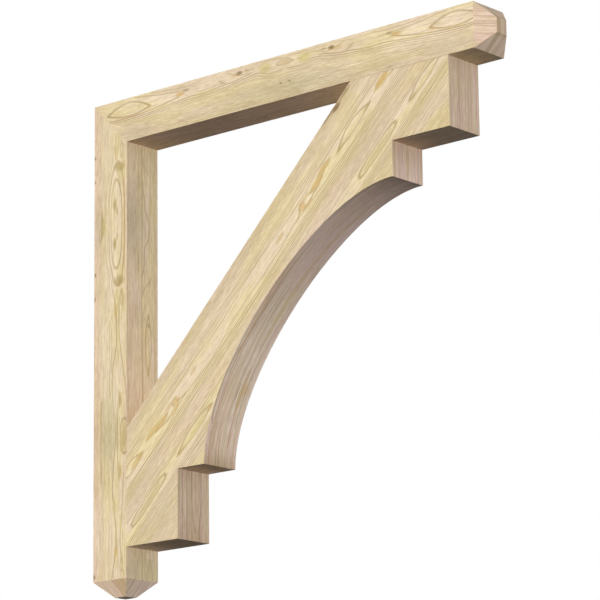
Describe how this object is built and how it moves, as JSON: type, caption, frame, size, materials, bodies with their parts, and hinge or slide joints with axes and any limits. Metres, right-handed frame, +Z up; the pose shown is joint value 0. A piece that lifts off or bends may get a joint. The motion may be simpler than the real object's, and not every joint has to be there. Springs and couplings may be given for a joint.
{
  "type": "wooden corbel bracket",
  "caption": "Timber corbel bracket: a wall post, a top beam mitred to it and a diagonal brace with stepped ends and a concave arc.",
  "frame": {"origin": "middle of the flat back of the wall post, where it bears on the wall", "axes": "+X straight out from the wall along the top beam, +Y across the bracket, +Z up along the wall post"},
  "size_m": [0.99, 0.089, 0.99],
  "materials": {
    "post_wood": "smooth sawn, unfinished fir",
    "beam_wood": "smooth sawn, unfinished fir",
    "brace_wood": "smooth sawn, unfinished fir"
  },
  "bodies": {
    "root": {"wall_post": "post_wood", "top_beam": "beam_wood", "diagonal_brace": "brace_wood"}
  },
  "joints": []
}
